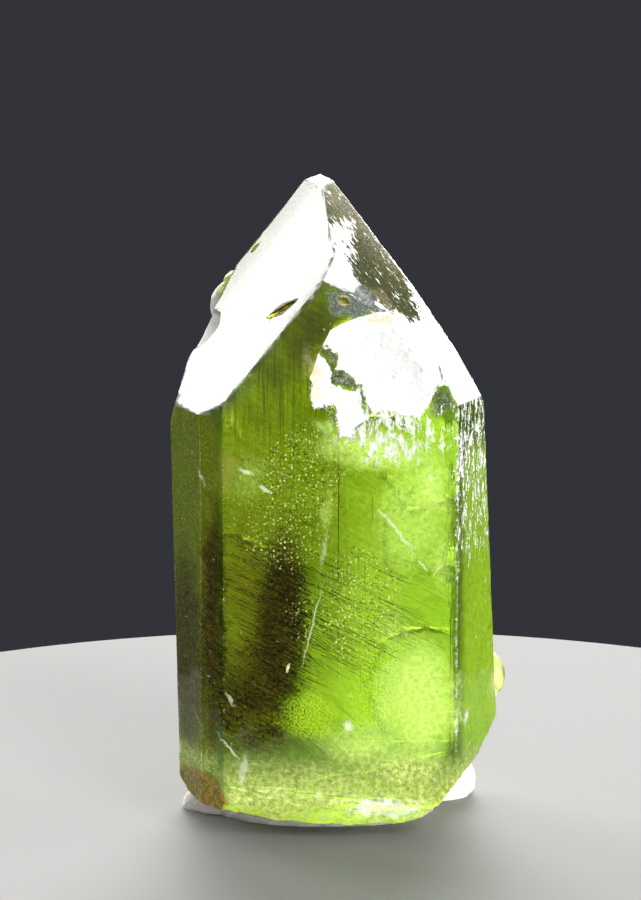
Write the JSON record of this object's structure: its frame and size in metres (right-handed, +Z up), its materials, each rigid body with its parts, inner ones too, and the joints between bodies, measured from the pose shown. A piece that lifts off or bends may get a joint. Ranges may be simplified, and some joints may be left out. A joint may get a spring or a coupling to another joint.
{
  "type": "peridot crystal",
  "caption": "Upright, doubly bevelled peridot crystal with a chisel-like pyramid point and a broken base, set in a pad of white mounting putty to stand for display.",
  "frame": {"origin": "on the surface that the putty rests on, under the middle of the whole part's box", "axes": "+Z is up along the crystal's length; -Y is the wide front face's outward direction; +X is to the viewer's right as seen from the front"},
  "size_m": [0.0186, 0.0134, 0.0357],
  "materials": {
    "peridot": "clear olive to lime green gem crystal, glossy faces, etched and frosted in places, brown-black needles inside",
    "white_putty": "matte, soft, slightly lumpy"
  },
  "bodies": {
    "root": {"peridot_crystal": "peridot", "mounting_putty": "white_putty"}
  },
  "joints": []
}
